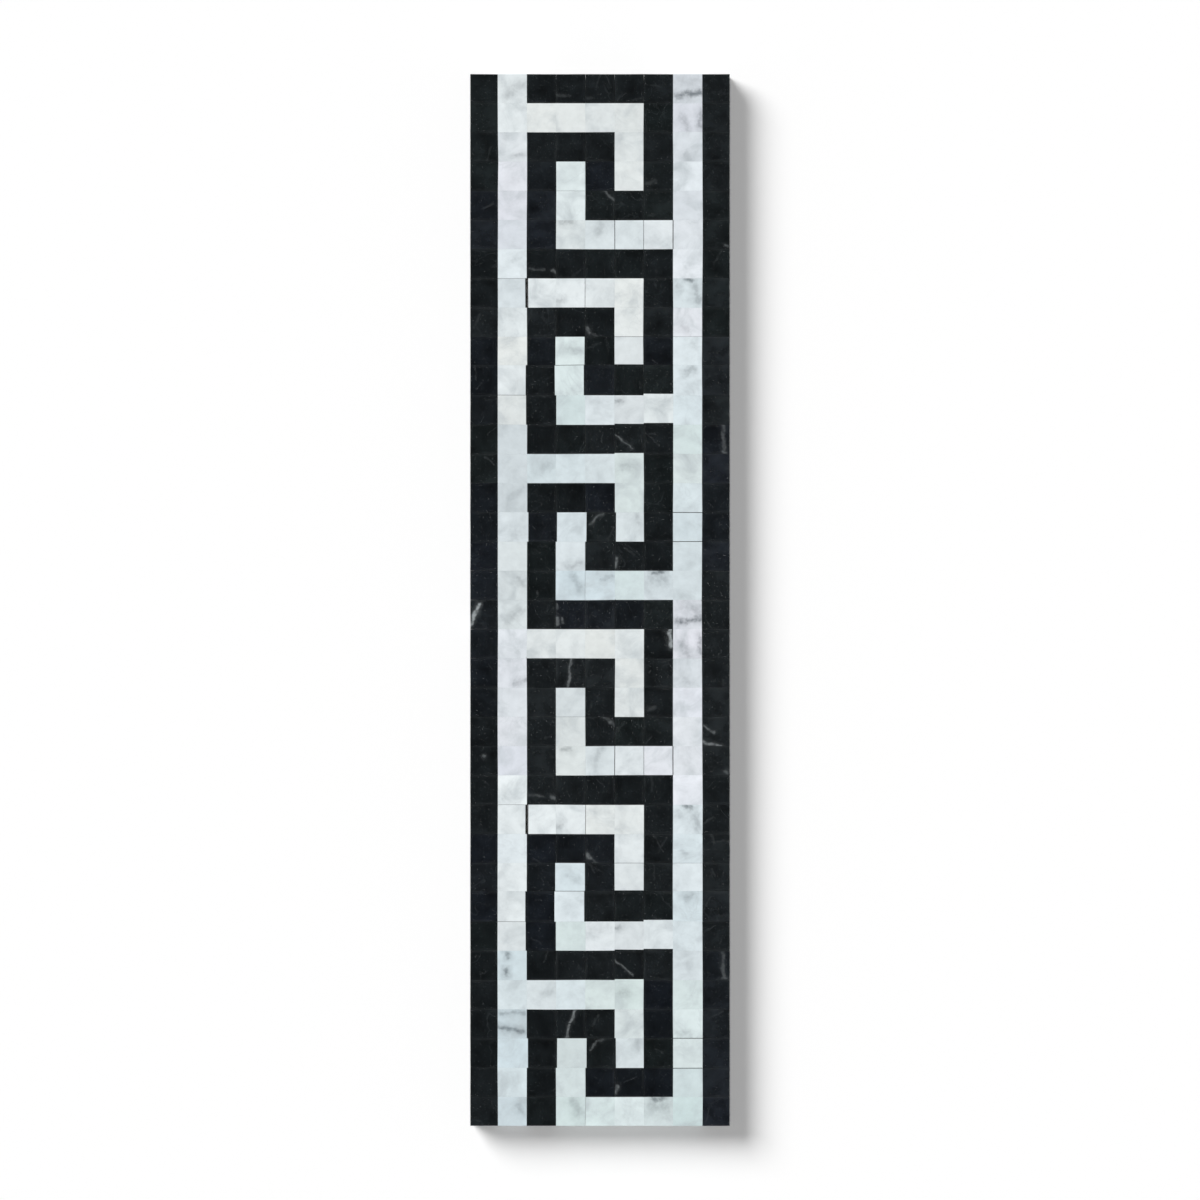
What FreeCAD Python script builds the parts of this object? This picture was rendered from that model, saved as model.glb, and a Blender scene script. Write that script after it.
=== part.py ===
import FreeCAD, Part
import Sketcher
import os
import re

# Greek key border tile, made as a mosaic: square sawn marble stones, nine across, laid tight
# on an open glass fibre mesh that holds them together until the strip is bedded.
#
# The strip lies face up. X runs across it, Y along it and Z up. The origin is in the middle
# of the mesh's underside, which is the face that beds on a wall or floor.
#
# The stones stand in columns 0 to 8 from -X to +X, and in rows counted from the +Y end.
# Columns 0 and 8 are the black outer lines, columns 1 and 7 the white inner lines, and
# columns 2 to 6 hold the key, which repeats every six rows and is drawn below.

# Driving dimensions in millimetres: alias, value and meaning
DIMENSIONS = (
    ("stone_side", 8.35, "side of a square stone's face"),
    ("edge_stone_width", 7.9, "width of the outer lines' stones, trimmed along the tile's edge"),
    ("stone_thickness", 9.0, "height of a stone from the mesh to its face"),
    ("joint_width", 0.12, "gap between two stones"),
    ("arris", 0.2, "bevel round a stone's face"),
    ("key_repeats", 6, "number of times the key repeats along the tile"),
    ("thread_thickness", 0.25, "thickness of a flat thread of the mesh"),
    ("thread_width", 0.8, "width of a flat thread of the mesh"),
    ("mesh_inset", 1.0, "how far the cut ends of the threads stay inside the tile's outline"),
)

# One repeat of the key, seen from above: a letter for each stone, small where it is black
KEY_DRAWING = (
    "bbbbb",
    "LLLLr",
    "lllLr",
    "lRlLr",
    "lRrrr",
    "lRRRR",
)
KEY_GROUPS = {
    "b": "black_bar",
    "L": "white_left_hook",
    "l": "black_left_hook",
    "r": "black_right_hook",
    "R": "white_right_hook",
}

# Counts that follow from the drawing, with a black and a white line on each side of the key
SIDE_LINE_COUNT = 2
KEY_ROWS = len(KEY_DRAWING)
COLUMNS = len(KEY_DRAWING[0]) + 2 * SIDE_LINE_COUNT

# The mesh has two threads for each stone both ways, and one more to close the row
THREADS_PER_STONE = 2

# How near an edge lies to a stone's box to count as one of its edges
EDGE_SEARCH_MARGIN = 0.001

# Expressions on the sheet's cells that several pieces share
PITCH = "(Dimensions.stone_side + Dimensions.joint_width)"
ROWS = f"({KEY_ROWS} * Dimensions.key_repeats)"
INNER_HALF_WIDTH = f"({(COLUMNS - 2) / 2} * {PITCH} + Dimensions.joint_width / 2)"
TILE_WIDTH = f"(2 * ({INNER_HALF_WIDTH} + Dimensions.edge_stone_width))"
TILE_LENGTH = f"({ROWS} * {PITCH} - Dimensions.joint_width)"
MESH_WIDTH = f"({TILE_WIDTH} - 2 * Dimensions.mesh_inset)"
MESH_LENGTH = f"({TILE_LENGTH} - 2 * Dimensions.mesh_inset)"

# Directions in which stones or threads repeat
ACROSS = "across"
DOWN = "down"

doc = FreeCAD.newDocument("GreekKeyBorderTile")


def make_sheet():
    """Puts the driving dimensions into a spreadsheet, one row each."""
    sheet = doc.addObject("Spreadsheet::Sheet", "Dimensions")
    for row, (alias, value, meaning) in enumerate(DIMENSIONS, start=1):
        sheet.set(f"A{row}", meaning)
        sheet.set(f"B{row}", str(value))
        sheet.setAlias(f"B{row}", alias)
    doc.recompute()
    return sheet


def origin_feature(body, role):
    """Finds one of the body's own origin planes or axes."""
    return next(feature for feature in body.Origin.OriginFeatures if feature.Role == role)


def make_body(label):
    """Makes an empty body that may hold several separate stones or threads."""
    body = doc.addObject("PartDesign::Body", label)
    body.Label = label
    body.AllowCompound = True
    return body


def rectangle_sketch(body, name, left, bottom, width, height):
    """Draws a rectangle on the body's base plane. The four sizes are expressions."""
    sketch = body.newObject("Sketcher::SketchObject", name)
    sketch.AttachmentSupport = (origin_feature(body, "XY_Plane"), [""])
    sketch.MapMode = "FlatFace"
    sketch.setExpression("AttachmentOffset.Base.x", left)
    sketch.setExpression("AttachmentOffset.Base.y", bottom)

    corners = [FreeCAD.Vector(*corner) for corner in ((0, 0), (1, 0), (1, 1), (0, 1))]
    for start, end in zip(corners, corners[1:] + corners[:1]):
        sketch.addGeometry(Part.LineSegment(start, end))
    bottom_line, right_line, top_line, left_line = range(4)
    start_point, end_point, root_point = 1, 2, -1
    for line in range(4):
        joint = (line, end_point, (line + 1) % 4, start_point)
        sketch.addConstraint(Sketcher.Constraint("Coincident", *joint))
    for line in (bottom_line, top_line):
        sketch.addConstraint(Sketcher.Constraint("Horizontal", line))
    for line in (right_line, left_line):
        sketch.addConstraint(Sketcher.Constraint("Vertical", line))
    corner = (bottom_line, start_point, root_point, start_point)
    sketch.addConstraint(Sketcher.Constraint("Coincident", *corner))
    for line, kind, size in ((bottom_line, "DistanceX", width), (right_line, "DistanceY", height)):
        index = sketch.addConstraint(
            Sketcher.Constraint(kind, line, start_point, line, end_point, 1.0)
        )
        sketch.setExpression(f"Constraints[{index}]", size)
    return sketch


def pad_sketch(body, name, sketch, height):
    """Raises the sketch into one solid."""
    pad = body.newObject("PartDesign::Pad", f"{name}_pad")
    pad.Profile = sketch
    pad.setExpression("Length", height)
    return pad


def bevel_face(body, name, pad):
    """Bevels the four edges of the face of the stone that the pad has just added."""
    doc.recompute()
    stone = pad.AddSubShape.BoundBox
    stone.enlarge(EDGE_SEARCH_MARGIN)
    face_level = stone.ZMax - 2 * EDGE_SEARCH_MARGIN
    edges = [
        f"Edge{number}"
        for number, edge in enumerate(pad.Shape.Edges, start=1)
        if stone.isInside(edge.BoundBox) and edge.BoundBox.ZMin > face_level
    ]
    bevel = body.newObject("PartDesign::Chamfer", f"{name}_arris")
    bevel.Base = (pad, edges)
    bevel.SupportTransform = True
    bevel.setExpression("Size", "Dimensions.arris")
    return bevel


def repeat_solid(body, name, solid, direction, spacing, count):
    """Repeats a solid across or down the tile. Spacing and count are expressions."""
    pattern = body.newObject("PartDesign::LinearPattern", f"{name}_pattern")
    pattern.Originals = [solid]
    axis = "X_Axis" if direction == ACROSS else "Y_Axis"
    pattern.Direction = (origin_feature(body, axis), [""])
    pattern.Reversed = direction == DOWN
    pattern.Mode = "Spacing"
    pattern.setExpression("Offset", spacing)
    pattern.setExpression("Occurrences", count)
    body.Tip = pattern


def column_left(column):
    """Expression for the left edge of a column's stones."""
    if column == 0:
        return f"-{TILE_WIDTH} / 2"
    if column == COLUMNS - 1:
        return INNER_HALF_WIDTH
    return f"{column - COLUMNS / 2} * {PITCH} + Dimensions.joint_width / 2"


def column_width(column):
    """Expression for the width of a column's stones."""
    is_outer = column in (0, COLUMNS - 1)
    return "Dimensions.edge_stone_width" if is_outer else "Dimensions.stone_side"


def row_bottom(row):
    """Expression for the lower edge of a row's stones."""
    return f"({ROWS} / 2 - {row + 1}) * {PITCH} + Dimensions.joint_width / 2"


def straight_runs(letter):
    """Splits a group's stones in the drawing into runs across, and the rest of it into runs down.

    A run gives its first column, its first row, its direction and its count of stones."""
    runs = []
    rest = []
    for row, line in enumerate(KEY_DRAWING):
        for run in re.finditer(letter + "{2,}", line):
            runs.append((SIDE_LINE_COUNT + run.start(), row, ACROSS, len(run[0])))
        rest.append(re.sub(letter + "{2,}", lambda run: " " * len(run[0]), line))
    for column, line in enumerate(zip(*rest)):
        for run in re.finditer(letter + "+", "".join(line)):
            runs.append((SIDE_LINE_COUNT + column, run.start(), DOWN, len(run[0])))
    return runs


def make_stones(label, runs, repeat=0):
    """Makes one named group of separate stones from its straight runs."""
    body = make_body(label)
    body.setExpression("Placement.Base.y", f"-{repeat * KEY_ROWS} * {PITCH}")
    body.setExpression("Placement.Base.z", "2 * Dimensions.thread_thickness")
    for number, (column, row, direction, count) in enumerate(runs, start=1):
        name = f"run_{number}"
        outline = rectangle_sketch(
            body, f"{name}_outline", column_left(column), row_bottom(row),
            column_width(column), "Dimensions.stone_side",
        )
        stone = pad_sketch(body, name, outline, "Dimensions.stone_thickness")
        bevelled_stone = bevel_face(body, name, stone)
        repeat_solid(body, name, bevelled_stone, direction, PITCH, str(count))
    return body


def make_threads(label, direction, stones_along, left, bottom, width, length, layer):
    """Makes one layer of the mesh: parallel flat threads, spread evenly over the tile."""
    body = make_body(label)
    body.setExpression("Placement.Base.z", f"{layer} * Dimensions.thread_thickness")
    outline = rectangle_sketch(body, "thread_outline", left, bottom, width, length)
    thread = pad_sketch(body, "thread", outline, "Dimensions.thread_thickness")
    gaps = f"({THREADS_PER_STONE} * {stones_along})"
    clear = MESH_WIDTH if direction == ACROSS else MESH_LENGTH
    spacing = f"({clear} - Dimensions.thread_width) / {gaps}"
    repeat_solid(body, "thread", thread, direction, spacing, f"{gaps} + 1")
    return body


def make_mesh():
    """Makes the mesh: long threads underneath, and cross threads on them, under the stones."""
    long_threads = make_threads(
        "mesh_long_threads", ACROSS, COLUMNS, f"-{MESH_WIDTH} / 2", f"-{MESH_LENGTH} / 2",
        "Dimensions.thread_width", MESH_LENGTH, layer=0,
    )
    cross_threads = make_threads(
        "mesh_cross_threads", DOWN, ROWS, f"-{MESH_WIDTH} / 2",
        f"{MESH_LENGTH} / 2 - Dimensions.thread_width", MESH_WIDTH,
        "Dimensions.thread_width", layer=1,
    )
    return [long_threads, cross_threads]


def check_and_write(pieces):
    """Stops on any failed object or bad shape, then writes one STEP file for each piece."""
    doc.recompute()
    for item in doc.Objects:
        if "Invalid" in item.State or "Error" in item.State:
            raise RuntimeError(f"{item.Label} failed: {item.State}")
    for piece in pieces:
        if piece.Shape.isNull() or not piece.Shape.isValid():
            raise RuntimeError(f"{piece.Label} has no valid shape")
    os.makedirs("parts", exist_ok=True)
    for piece in pieces:
        piece.Shape.exportStep(os.path.join("parts", f"{piece.Label}.step"))
        print(piece.Label, len(piece.Shape.Solids), "solids", round(piece.Shape.Volume, 3), "mm3")


dimensions = make_sheet()
tile_pieces = [
    make_stones("left_black_line", ((0, 0, DOWN, ROWS),)),
    make_stones("left_white_line", ((1, 0, DOWN, ROWS),)),
    make_stones("right_white_line", ((COLUMNS - 2, 0, DOWN, ROWS),)),
    make_stones("right_black_line", ((COLUMNS - 1, 0, DOWN, ROWS),)),
]
for repeat in range(int(dimensions.key_repeats)):
    for letter, group in KEY_GROUPS.items():
        tile_pieces.append(make_stones(f"{group}_{repeat + 1}", straight_runs(letter), repeat))
tile_pieces.extend(make_mesh())
check_and_write(tile_pieces)
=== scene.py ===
# %% [markdown]
# # A Greek key border in marble mosaic
#
# The object is a narrow border tile: small square stones of black and white marble, nine across
# and thirty-six long, laid tight on a net of glass fibre. The stones draw a Greek key between
# plain lines. The CAD model holds every stone and thread at its real size. This lesson lays a
# finer stone over each of them, cuts the net's yarns, and gives each piece its finish.
#
# Everything is in metres, in the CAD model's frame: X across the strip, Y along it, Z up.

# %% Load the frame
import math
import random

import bmesh
import bpy
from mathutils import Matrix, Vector


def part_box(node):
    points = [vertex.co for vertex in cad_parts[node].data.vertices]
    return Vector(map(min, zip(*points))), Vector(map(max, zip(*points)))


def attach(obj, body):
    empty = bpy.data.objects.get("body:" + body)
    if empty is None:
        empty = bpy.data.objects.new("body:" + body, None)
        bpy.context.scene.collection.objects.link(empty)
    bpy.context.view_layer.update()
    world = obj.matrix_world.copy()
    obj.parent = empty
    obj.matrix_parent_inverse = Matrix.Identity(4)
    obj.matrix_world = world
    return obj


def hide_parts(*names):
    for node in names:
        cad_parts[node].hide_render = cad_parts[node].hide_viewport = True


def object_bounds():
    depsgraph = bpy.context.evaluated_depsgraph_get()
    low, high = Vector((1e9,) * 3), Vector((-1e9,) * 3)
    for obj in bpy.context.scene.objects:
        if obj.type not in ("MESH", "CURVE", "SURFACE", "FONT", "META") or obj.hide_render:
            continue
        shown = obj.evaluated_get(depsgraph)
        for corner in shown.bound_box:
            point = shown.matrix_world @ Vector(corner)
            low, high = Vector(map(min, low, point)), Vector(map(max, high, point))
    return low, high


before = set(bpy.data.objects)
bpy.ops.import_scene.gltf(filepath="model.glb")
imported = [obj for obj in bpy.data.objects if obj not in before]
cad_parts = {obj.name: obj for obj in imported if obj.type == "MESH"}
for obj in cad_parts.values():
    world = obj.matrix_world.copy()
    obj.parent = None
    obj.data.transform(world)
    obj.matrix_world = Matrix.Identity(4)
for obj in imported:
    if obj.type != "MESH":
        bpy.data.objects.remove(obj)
cad_low, cad_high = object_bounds()
print("CAD nodes:", len(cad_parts), "and the box in metres:", tuple(cad_high - cad_low))

# %% [markdown]
# ## Setting out
#
# A mosaic layer draws the key on squared paper, one letter for each stone, and numbers the
# columns from the left and the rows from the top. The groups could be read off the CAD meshes,
# but the drawing sorts the stones in a few lines, so that each new piece stands for one CAD node.
# The pitch of the rows comes from the frame: two bars of the key lie one repeat apart.

# %% Columns, rows and groups of stones
MILLIMETRE = 0.001
KEY_DRAWING = (
    "bbbbb",
    "LLLLr",
    "lllLr",
    "lRlLr",
    "lRrrr",
    "lRRRR",
)
KEY_GROUPS = {
    "b": "black_bar",
    "L": "white_left_hook",
    "l": "black_left_hook",
    "r": "black_right_hook",
    "R": "white_right_hook",
}
LINES = {0: "left_black_line", 1: "left_white_line", 7: "right_white_line", 8: "right_black_line"}
FIRST_KEY_COLUMN = 2
KEY_ROWS = len(KEY_DRAWING)
COLUMN_COUNT = len(LINES) + len(KEY_DRAWING[0])

pitch = (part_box("black_bar_1")[1].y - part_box("black_bar_2")[1].y) / KEY_ROWS
row_count = round((cad_high.y - cad_low.y) / pitch)


def group_of(column, row):
    """The CAD node that a stone belongs to."""
    if column in LINES:
        return LINES[column]
    repeat, key_row = divmod(row, KEY_ROWS)
    letter = KEY_DRAWING[key_row][column - FIRST_KEY_COLUMN]
    return f"{KEY_GROUPS[letter]}_{repeat + 1}"


def is_black(column, row):
    """True for a stone of black marble."""
    return "black" in group_of(column, row)


all_stones = [(column, row) for row in range(row_count) for column in range(COLUMN_COUNT)]
groups = {}
for column, row in all_stones:
    groups.setdefault(group_of(column, row), []).append((column, row))
print("rows:", row_count, "pitch in mm:", round(pitch / MILLIMETRE, 3), "groups:", len(groups))

# %% [markdown]
# ## Camera
#
# The picture looks straight down, and the strip's sides don't show. A camera without perspective
# would give that view. So does a long lens from far away, which is how a tile is photographed.
# The strip takes up a known share of the picture's height, which sets how much of the floor the
# picture covers, and so how far away the camera is.

# %% Camera straight above the strip
PHOTO_PIXELS = 1200
STRIP_PIXELS = 1052
LENS = 200.0
SENSOR = 36.0

picture_width = (cad_high.y - cad_low.y) * PHOTO_PIXELS / STRIP_PIXELS
pixel = picture_width / PHOTO_PIXELS

camera_data = bpy.data.cameras.new("camera")
camera_data.lens = LENS
camera_data.sensor_width = SENSOR
camera = bpy.data.objects.new("camera", camera_data)
camera.location = (0.0, 0.0, cad_high.z + picture_width * LENS / SENSOR)
bpy.context.scene.collection.objects.link(camera)
bpy.context.scene.camera = camera
print("camera height in metres:", round(camera.location.z, 3))

# %% [markdown]
# ## Sums on sockets
#
# A marble is a sum of many patterns. Written node by node it would take pages, so one small
# class wraps a node's output and lets Python write the sums: `1 - mask` adds a Math node. Any
# other node comes from its `node` method, which sets the node's own settings first and then the
# values or links of its sockets. Colours and places go through Mix and Vector Math instead,
# because a Math node would turn a colour grey.

# %% A socket that can be used in a sum
class Wire:
    """A node's output. Sums on wires add Math nodes to the material."""

    def __init__(self, tree, socket=None):
        self.tree = tree
        self.socket = socket

    def plug(self, node, sockets):
        """Sets a node's inputs to values, or links them to other wires."""
        for name, value in sockets.items():
            if isinstance(value, Wire):
                self.tree.links.new(value.socket, node.inputs[name])
            else:
                node.inputs[name].default_value = value

    def node(self, kind, settings, sockets, output=0):
        """Adds any node and returns one of its outputs."""
        made = self.tree.nodes.new("ShaderNode" + kind)
        for name, value in settings.items():
            setattr(made, name, value)
        self.plug(made, sockets)
        return Wire(self.tree, made.outputs[output])

    def operate(self, operation, first, second):
        """Adds a Math node."""
        return self.node("Math", {"operation": operation}, {0: first, 1: second})

    def __add__(self, other):
        return self.operate("ADD", self, other)

    __radd__ = __add__

    def __sub__(self, other):
        return self.operate("SUBTRACT", self, other)

    def __rsub__(self, other):
        return self.operate("SUBTRACT", other, self)

    def __mul__(self, other):
        return self.operate("MULTIPLY", self, other)

    __rmul__ = __mul__

    def __truediv__(self, other):
        return self.operate("DIVIDE", self, other)


print("sums that a wire takes part in: + - * /")

# %% [markdown]
# A picture gives a colour as three levels from 0 to 255, but a shader works in amounts of light,
# and the two aren't spaced alike. So every colour here is written as levels, and goes through the
# curve that screens use. The finishes of stone and yarn start alike, and share a helper.

# %% Colours and new materials
CURVE_OFFSET = 0.055
CURVE_POWER = 2.4


def linear(red, green, blue):
    """A colour as a shader needs it, from the 0 to 255 levels that a picture shows."""
    shares = [level / 255 for level in (red, green, blue)]
    light = [((share + CURVE_OFFSET) / (1 + CURVE_OFFSET)) ** CURVE_POWER for share in shares]
    return (*light, 1.0)


def begin_material(name):
    """Starts a material: the material, a wire to build with, and its surface shader."""
    material = bpy.data.materials.new(name)
    material.use_nodes = True
    return material, Wire(material.node_tree), material.node_tree.nodes["Principled BSDF"]


print("a grey of 128 gives this share of light:", round(linear(128, 128, 128)[0], 3))

# %% [markdown]
# Each wrapped node gets a short name in a maker's words, so that a material reads like a recipe.

# %% Short names for nodes
def noise(place, scale, detail=3.0, roughness=0.5, distortion=0.0, output=0):
    """Cloudy noise from 0 to 1. The scale counts its lumps in a metre."""
    sockets = {"Vector": place, "Scale": scale, "Detail": detail}
    sockets.update({"Roughness": roughness, "Distortion": distortion})
    return place.node("TexNoise", {}, sockets, output)


def ease(value, low, high):
    """A smooth step from 0 at low to 1 at high. Low may be the larger one."""
    settings = {"interpolation_type": "SMOOTHSTEP"}
    return value.node("MapRange", settings, {"Value": value, "From Min": low, "From Max": high})


def blend(factor, first, second):
    """A colour between two colours."""
    return factor.node("Mix", {"data_type": "RGBA"}, {0: factor, 6: first, 7: second}, 2)


def vector(operation, first, second, output="Vector"):
    """Vector Math on two places, directions or colours."""
    wire = first if isinstance(first, Wire) else second
    return wire.node("VectorMath", {"operation": operation}, {0: first, 1: second}, output)


def scaled(place, factor):
    """A place, direction or colour, times a number."""
    return place.node("VectorMath", {"operation": "SCALE"}, {0: place, "Scale": factor})


def attribute(start, name, output):
    """What the mesh stores under this name: its Color, Vector or Fac."""
    return start.node("Attribute", {"attribute_name": name}, {}, output)


def coordinate(place, axis):
    """One coordinate of a place."""
    return place.node("SeparateXYZ", {}, {0: place}, axis)


def bumped(start, height, depth):
    """A surface normal for a relief of this depth in metres."""
    return start.node("Bump", {}, {"Height": height, "Distance": depth}, "Normal")


print("short names: noise, ease, blend, vector, scaled, attribute, coordinate, bumped")

# %% [markdown]
# ## Light
#
# The strip's shadow falls to the right and downwards. Its length and the strip's height give the
# direction of the main lamp, and its soft edge gives the lamp's width. A lamp straight above fills
# the shadow. On a copy stand, polarising filters keep the lamps out of the gloss of polished stone,
# so both lamps are left out of the glossy rays here, and the gloss comes from the room alone.

# %% Main lamp and filling lamp
SHADOW_RIGHT = 32
SHADOW_DOWN = 27
MAIN_SHARE = 0.62
FILL_SHARE = 0.31
MAIN_WIDTH = 34
FILL_WIDTH = 8


def shine(name, direction, share, width):
    """Adds a distant lamp, so many degrees wide, that gives a level floor its share of light."""
    lamp = bpy.data.lights.new(name, "SUN")
    lamp.energy = share * math.pi / -direction.z
    lamp.angle = math.radians(width)
    holder = bpy.data.objects.new(name, lamp)
    holder.rotation_euler = direction.to_track_quat("-Z", "Y").to_euler()
    holder.visible_glossy = False
    bpy.context.scene.collection.objects.link(holder)


falling = Vector((SHADOW_RIGHT * pixel, -SHADOW_DOWN * pixel, -cad_high.z)).normalized()
shine("main_lamp", falling, MAIN_SHARE, MAIN_WIDTH)
shine("filling_lamp", Vector((0, 0, -1)), FILL_SHARE, FILL_WIDTH)
print("main lamp above the floor, in degrees:", round(math.degrees(math.asin(-falling.z)), 1))

# %% [markdown]
# The room round the strip is pale near the horizon and dark above. An even room would lay a grey
# veil on the black stones in every view. In this one, stone shines only when it is seen from low
# down. The lamps and the room add up to one, so a colour renders about as it is written.

# %% Room
ROOM_ABOVE = 0.04
ROOM_HORIZON = 0.10
WHITE = (1, 1, 1, 1)

room = bpy.data.worlds.new("room")
room.use_nodes = True
room_wire = Wire(room.node_tree)
height = coordinate(room_wire.node("TexCoord", {}, {}, "Generated"), "Z")
room_wire.plug(room.node_tree.nodes["Background"], {
    "Color": WHITE,
    "Strength": ROOM_ABOVE + ROOM_HORIZON * ease(height, 1.0, 0.0),
})
bpy.context.scene.world = room
bpy.context.scene.view_settings.view_transform = "Standard"
print("room strength above and at the horizon:", ROOM_ABOVE, round(ROOM_ABOVE + ROOM_HORIZON, 2))

# %% [markdown]
# ## Floor
#
# The strip lies on white paper, which takes its shadow. Paper has no gloss, so a plain diffuse
# shader is enough, and one large square keeps its edges far away.

# %% White paper floor
FLOOR_HALF_SIDE = 4.0

paper, paper_wire, glossy = begin_material("white paper")
paper.node_tree.nodes.remove(glossy)
matt = paper_wire.node("BsdfDiffuse", {}, {"Color": WHITE})
paper_wire.plug(paper.node_tree.nodes["Material Output"], {"Surface": matt})


def add_object(bm, name, material):
    """Turns a bmesh into an object of the scene."""
    mesh = bpy.data.meshes.new(name)
    bm.to_mesh(mesh)
    bm.free()
    mesh.materials.append(material)
    made = bpy.data.objects.new(name, mesh)
    bpy.context.scene.collection.objects.link(made)
    return made


floor_shape = bmesh.new()
bmesh.ops.create_grid(floor_shape, x_segments=1, y_segments=1, size=FLOOR_HALF_SIDE)
floor = add_object(floor_shape, "floor", paper)
print("side of the floor in metres:", 2 * FLOOR_HALF_SIDE)

# %% [markdown]
# ## What a stone carries
#
# Each stone is sawn from another place in a slab. Noise could be read where the stone lies, but
# then one cloud would run on over the joints. So a stone's faces carry its place in the slab as an
# attribute, and noise read there differs from stone to stone but runs unbroken round a stone's
# edges. They also carry the stone's own colour, whether the face is polished, whether it faces
# another stone, and up to three marks: veins or clouds, each a line with a width and a strength.
# The ends of a mark are given in parts of the stone, from the left and from the top, as in the UV
# map named stone.

# %% Places on a stone
FLAT = (1, 1, 0)
SHAKE_SCALE = 300
SHAKE_ROUGHNESS = 0.65
NO_SHAKE = (0.5, 0.5, 0.5)


def slab_place(start):
    """Object coordinates, moved to each stone's own place in the slab."""
    here = start.node("TexCoord", {}, {}, "Object")
    return vector("ADD", here, attribute(start, "slab_offset", "Vector"))


def stone_place(start, slab, wobble, detail):
    """Where a point lies on its stone, shaken a little so that marks aren't straight."""
    place = start.node("UVMap", {"uv_map": "stone"}, {})
    shake = noise(slab, SHAKE_SCALE, detail, SHAKE_ROUGHNESS, output="Color")
    shake = vector("SUBTRACT", shake, NO_SHAKE)
    return vector("MULTIPLY", vector("ADD", place, scaled(shake, wobble)), FLAT)


def joint_distance(start):
    """Distance to the nearest side of the stone's face, in parts of the stone."""
    place = start.node("UVMap", {"uv_map": "stone"}, {})
    across = coordinate(place, "X")
    down = coordinate(place, "Y")
    nearest = start.operate("MINIMUM", across, 1 - across)
    return start.operate("MINIMUM", nearest, start.operate("MINIMUM", down, 1 - down))


print("places on a stone: slab, face and joints")

# %% [markdown]
# Noise could draw all the veins, but then they would lie anywhere. A mark is the distance to a
# line on the stone instead, faded over the mark's width, so that it lies where its two ends are
# put, and noise only shakes it and breaks it up. Fine hairlines may lie anywhere, so they do come
# from noise.

# %% Marks on a stone
MARK_SLOTS = 3
HALO_REACH = 2.6
NOT_ZERO = 1e-6
RAGGED_SCALE = 900
RAGGED_STEP = (0.30, 0.62)
HAIRLINE_BEND = 1.2
PATCH_SCALE = 0.6
PATCH_STEP = (0.50, 0.68)


def mark(start, slot, place, core, halo):
    """Strength of one mark here. Core is the share of its width that is solid, and halo is the
    share of its strength that spreads further out."""
    first = attribute(start, f"mark_{slot}_start", "Vector")
    last = attribute(start, f"mark_{slot}_end", "Vector")
    origin = vector("MULTIPLY", first, FLAT)
    reach = vector("SUBTRACT", vector("MULTIPLY", last, FLAT), origin)
    offset = vector("SUBTRACT", place, origin)
    share = vector("DOT_PRODUCT", offset, reach, "Value")
    share = share / (vector("DOT_PRODUCT", reach, reach, "Value") + NOT_ZERO)
    along = start.node("Clamp", {}, {"Value": share})
    aside = vector("SUBTRACT", offset, scaled(reach, along))
    distance = start.node("VectorMath", {"operation": "LENGTH"}, {0: aside}, "Value")
    distance = distance / coordinate(first, "Z")
    profile = (1 - halo) * ease(distance, 1.0, core) + halo * ease(distance, HALO_REACH, 0.0)
    return profile * coordinate(last, "Z")


def marks(start, slab, wobble, detail, core, halo, solid):
    """The strongest of the stone's marks at each point, broken up as a vein in stone is."""
    place = stone_place(start, slab, wobble, detail)
    found = mark(start, 1, place, core, halo)
    for slot in range(2, MARK_SLOTS + 1):
        found = start.operate("MAXIMUM", found, mark(start, slot, place, core, halo))
    ragged = ease(noise(slab, RAGGED_SCALE, detail=4.0), *RAGGED_STEP)
    return found * (solid + (1 - solid) * ragged)


def hairlines(slab, scale, width):
    """Fine broken lines where a noise crosses its middle value."""
    level = noise(slab, scale, detail=4.0, distortion=HAIRLINE_BEND)
    away = level.node("Math", {"operation": "ABSOLUTE"}, {0: level - 0.5})
    return ease(away, width, 0.0) * ease(noise(slab, scale * PATCH_SCALE), *PATCH_STEP)


print("mark slots on each stone:", MARK_SLOTS)

# %% [markdown]
# ## Sawn and polished
#
# Both marbles are sawn into small blocks and polished on one face. The saw leaves fine level lines
# on the sides. The sides that face another stone are painted dark: painted shade of the narrow
# joint, together with its dust and glue. Modelled lines would take thousands of faces, so they are
# a noise that is squeezed in height, with a bump. A polished face has only the slight unevenness
# of wear.

# %% Sawn sides and polished face
# Painted shade of the joints, with their dust and glue, on the sides that face another stone
JOINT_SHADE = linear(34, 36, 36)
SAW_STRETCH = (140, 140, 2600)
SAW_SHARE = 0.7
WEAR_SCALE = 700
WEAR_RELIEF = 0.12
RELIEF_DEPTH = 0.06 * MILLIMETRE


def dress_stone(start, surface, slab, body, sawn_body, sawn, polished, worn, dull=None):
    """Joins the sawn sides to the polished face. Sawn and polished are their roughnesses, and worn
    and dull add to those."""
    polish = attribute(start, "polish", "Fac")
    saw = noise(vector("MULTIPLY", slab, SAW_STRETCH), 1.0, detail=2.0)
    wear = noise(slab, WEAR_SCALE)
    # Sides that face another stone are darkened towards JOINT_SHADE: painted shade of the joint, with its
    # dust and glue
    side = blend(attribute(start, "painted_joint_shade", "Fac"), blend(SAW_SHARE * saw, body, sawn_body), JOINT_SHADE)
    roughness = sawn - (sawn - polished) * polish + worn * wear * polish
    start.plug(surface, {
        "Base Color": blend(polish, side, body),
        "Roughness": roughness + dull if dull else roughness,
        "Normal": bumped(start, saw * (1 - polish) + WEAR_RELIEF * wear, RELIEF_DEPTH),
    })


print("depth of the relief in mm:", round(RELIEF_DEPTH / MILLIMETRE, 3))
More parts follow.
